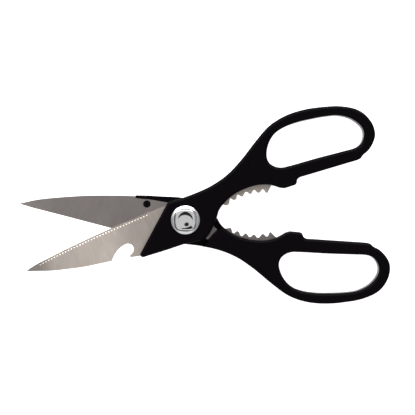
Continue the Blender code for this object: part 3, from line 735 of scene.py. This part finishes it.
def make_cap():
    """One closed lofted shell: dome, groove, pillow-shaped boss, rim, skirt and hollow underside."""
    shell = bmesh.new()
    top = shell.verts.new((0.0, 0.0, CAP_TOP * MM))
    roof = shell.verts.new((0.0, 0.0, CAP_ROOF * MM))
    turn = math.radians(CAP_TURN)
    rows = []
    for round_part, offset, pillow_share, level in cap_rings():
        row = []
        for step in range(ROUND_SEGMENTS):
            angle = math.tau * step / ROUND_SEGMENTS
            radius = round_part + pillow_share * pillow_radius(angle) + offset
            height = rim_height(radius) if level is None else level
            row.append(shell.verts.new((radius * math.cos(angle + turn) * MM,
                                        radius * math.sin(angle + turn) * MM, height * MM)))
        rows.append(row)
    for step in range(ROUND_SEGMENTS):
        after = (step + 1) % ROUND_SEGMENTS
        shell.faces.new((top, rows[0][step], rows[0][after]))
        shell.faces.new((roof, rows[-1][after], rows[-1][step]))
        for index, (inner, outer) in enumerate(zip(rows, rows[1:])):
            face = shell.faces.new((inner[step], outer[step], outer[after], inner[after]))
            face.material_index = 1 if index in CAP_SEAM_ROWS else 0
    cap = new_object("cap_shell", shell)
    shade(cap, CHROME_ANGLE)
    return cap


def make_bolt():
    profile = [(0.0, BOLT_TOP), (THREAD_ROOT - THREAD_LEAD, BOLT_TOP),
               (THREAD_ROOT, BOLT_TOP - THREAD_LEAD)]
    crest = BOLT_TOP - THREAD_PITCH / 2
    while crest - THREAD_PITCH / 2 > SHAFT_TOP:
        profile.append((THREAD_RADIUS, crest))
        profile.append((THREAD_ROOT, crest - THREAD_PITCH / 2))
        crest -= THREAD_PITCH
    profile += [(THREAD_ROOT, SHAFT_TOP), (SHAFT_RADIUS - BOLT_EDGE, SHAFT_TOP),
                (SHAFT_RADIUS, SHAFT_TOP - BOLT_EDGE), (SHAFT_RADIUS, HEAD_TOP),
                (HEAD_RADIUS - BOLT_EDGE, HEAD_TOP), (HEAD_RADIUS, HEAD_TOP - BOLT_EDGE)]
    for step in range(9):
        lean = math.radians(90.0 * step / 8)
        profile.append((HEAD_RADIUS - HEAD_ROUND + HEAD_ROUND * math.cos(lean),
                        HEAD_ROUND - HEAD_ROUND * math.sin(lean)))
    profile.append((0.0, 0.0))
    bolt = turned_solid("bolt", profile)
    neck = flat_solid("bolt_neck", [square((0.0, 0.0), NECK_SIDE)], HEAD_TOP - NECK_SINK, NECK_TOP,
                      rounding=NECK_ROUND, steps=1)
    neck.data.transform(Matrix.Rotation(math.radians(-HALF_OPENING), 4, "Z"))
    combine(bolt, [neck], "UNION")
    shade(bolt, MOULDED_ANGLE)
    return bolt


# ---------------------------------------------------------------- assembly

# Both blades are the same steel: the front's brighter tint is painted light and the rear's darker tint is
# painted shade.
front_steel = blade_steel("front_blade_steel", (0.83, 0.742, 0.673), 180 + HALF_OPENING, 0.40,
                          [(0.0, 0.64), (0.12, 0.71), (0.35, 0.99), (0.55, 0.95), (0.78, 0.85),
                           (0.9, 0.50), (1.0, 0.46)])
rear_steel = blade_steel("rear_blade_steel", (0.385, 0.345, 0.335), 180 - HALF_OPENING, 0.42,
                         [(0.0, 0.80), (0.5, 0.84), (0.75, 0.84), (0.88, 0.98), (1.0, 1.0)])
moulding = black_moulding("black_handle_moulding")
chrome = chrome_plate("bright_chrome")
zinc = plated_steel("zinc_plated_steel")
nylon = natural_nylon("natural_nylon")

round_bore = circle(pivot_centre(1), BORE_RADIUS, BORE_SEGMENTS)
square_bore = square(pivot_centre(-1), NECK_SIDE + NECK_CLEARANCE)

add_piece(make_blade("serrated_blade", front_outline(), round_bore, hollows("hollows"), 1),
          front_steel, "front_half", "blade_steel", "front_blade")
add_piece(make_blade("plain_blade", rear_outline(), square_bore, edge_bevel("bevel", *REAR_EDGE), -1),
          rear_steel, "rear_half", "blade_steel", "rear_blade")
add_piece(make_handle("front_moulding", front_outline(), FRONT_BOSS, FRONT_RECESS, round_bore, 1),
          moulding, "front_half", "black_moulding", "front_handle")
add_piece(make_handle("rear_moulding", rear_outline(), REAR_BOSS, REAR_RECESS, square_bore, -1),
          moulding, "rear_half", "black_moulding", "rear_handle")
cap = make_cap()
seam_faces = [polygon.index for polygon in cap.data.polygons if polygon.material_index == 1]
add_piece(cap, chrome, "front_half", "chrome_plate", "pivot_cap")
# The cap's seam faces get a second material that holds painted shade.
cap.data.materials.append(painted_seam_shade("painted_seam_shade"))
for index in seam_faces:
    cap.data.polygons[index].material_index = 1
add_piece(make_bolt(), zinc, "rear_half", "plated_steel", "pivot_bolt")

for node, finish in (("rear_washer", zinc), ("front_washer", zinc), ("spring_washer", zinc),
                     ("pivot_nut", zinc), ("pivot_bush", nylon)):
    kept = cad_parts[node]
    kept.data.materials.clear()
    kept.data.materials.append(finish)
    shade(kept, MOULDED_ANGLE)

# ---------------------------------------------------------------- studio

scene = bpy.context.scene
scene.view_settings.view_transform = "Standard"
scene.view_settings.look = "None"

floor_mesh = bpy.data.meshes.new("floor")
floor_corners = [(x * FLOOR_REACH, y * FLOOR_REACH, 0.0) for x, y in ((-1, -1), (1, -1), (1, 1), (-1, 1))]
floor_mesh.from_pydata(floor_corners, [], [(0, 1, 2, 3)])
floor = bpy.data.objects.new("floor", floor_mesh)
floor.location.z = -FLOOR_DROP
scene.collection.objects.link(floor)
paper = bpy.data.materials.new("pale_paper")
paper.use_nodes = True
paper_shader = paper.node_tree.nodes["Principled BSDF"]
paper_shader.inputs["Base Color"].default_value = (0.92, 0.92, 0.92, 1.0)
paper_shader.inputs["Roughness"].default_value = 0.9
paper_shader.inputs["Specular IOR Level"].default_value = 0.1
paper_shader.inputs["Emission Color"].default_value = (1.0, 1.0, 1.0, 1.0)
paper_shader.inputs["Emission Strength"].default_value = 1.0
floor_mesh.materials.append(paper)

world = bpy.data.worlds.new("studio")
world.use_nodes = True
dome = world.node_tree
dome_light = dome.nodes["Background"]
dome_light.inputs["Color"].default_value = (1.0, 1.0, 1.0, 1.0)
scene.world = world
view_direction = dome.nodes.new("ShaderNodeTexCoord").outputs["Generated"]


def picture_direction(azimuth, elevation):
    """A unit vector; azimuth is measured from the picture's right."""
    turn = math.radians(azimuth + PICTURE_TURN)
    lift = math.radians(elevation)
    return Vector((math.cos(turn) * math.cos(lift), math.sin(turn) * math.cos(lift), math.sin(lift)))


def dome_disc(azimuth, elevation, radius, softness=1.0):
    """1 inside a soft-edged disc on the studio dome, 0 outside."""
    nearness = dome.nodes.new("ShaderNodeVectorMath")
    nearness.operation = "DOT_PRODUCT"
    nearness.inputs[1].default_value = picture_direction(azimuth, elevation)
    dome.links.new(view_direction, nearness.inputs[0])
    edge = dome.nodes.new("ShaderNodeMapRange")
    edge.inputs["From Min"].default_value = math.cos(math.radians(radius + softness))
    edge.inputs["From Max"].default_value = math.cos(math.radians(radius - softness))
    dome.links.new(nearness.outputs["Value"], edge.inputs["Value"])
    return edge.outputs["Result"]


def dome_math(operation, first, second):
    node = dome.nodes.new("ShaderNodeMath")
    node.operation = operation
    node.use_clamp = True
    for socket, value in zip(node.inputs, (first, second)):
        if isinstance(value, bpy.types.NodeSocket):
            dome.links.new(value, socket)
        else:
            socket.default_value = value
    return node.outputs["Value"]


flag = dome_math("SUBTRACT", dome_disc(0.0, 90.0, 27.0), dome_disc(-98.0, 78.3, 25.0))
darkness = dome_math("ADD", flag, dome_disc(-77.0, 77.0, 6.3))
shade_left = dome_math("MULTIPLY", dome_disc(185.0, 20.0, 38.0, 14.0), 0.45)
shade_right = dome_math("MULTIPLY", dome_disc(-10.0, 20.0, 38.0, 14.0), 0.5)
darkness = dome_math("ADD", darkness, dome_math("ADD", shade_left, shade_right))
window_light = dome.nodes.new("ShaderNodeMapRange")
window_light.inputs["To Min"].default_value = DOME_STRENGTH
window_light.inputs["To Max"].default_value = WINDOW_STRENGTH
dome.links.new(dome_disc(110.0, 18.0, 52.0, 8.0), window_light.inputs["Value"])
dome_strength = dome.nodes.new("ShaderNodeMapRange")
dome_strength.inputs["To Max"].default_value = DOME_DARK
dome.links.new(window_light.outputs["Result"], dome_strength.inputs["To Min"])
dome.links.new(darkness, dome_strength.inputs["Value"])
dome.links.new(dome_strength.outputs["Result"], dome_light.inputs["Strength"])


def add_softbox(name, azimuth, elevation, distance, width, height, power):
    """A rectangular area light aimed at the pivot."""
    direction = picture_direction(azimuth, elevation)
    light = bpy.data.lights.new(name, "AREA")
    light.shape = "RECTANGLE"
    light.size = width
    light.size_y = height
    light.energy = power
    lamp = bpy.data.objects.new(name, light)
    lamp.location = direction * distance
    lamp.rotation_euler = direction.to_track_quat("Z", "Y").to_euler()
    scene.collection.objects.link(lamp)


add_softbox("key_top", 97.0, 42.0, 1.1, 1.6, 0.7, 7.0)
add_softbox("fill_low", -90.0, 42.0, 1.2, 1.0, 0.6, 0.3)

camera_data = bpy.data.cameras.new("camera")
camera_data.sensor_width = SENSOR_WIDTH
camera_data.lens = SENSOR_WIDTH * CAMERA_DISTANCE / FIELD_WIDTH
camera_data.clip_start = 0.01
camera = bpy.data.objects.new("camera", camera_data)
camera.location = CAMERA_TARGET + Vector((0.0, 0.0, CAMERA_DISTANCE))
camera.rotation_euler = (0.0, 0.0, math.radians(PICTURE_TURN))
scene.collection.objects.link(camera)
scene.camera = camera
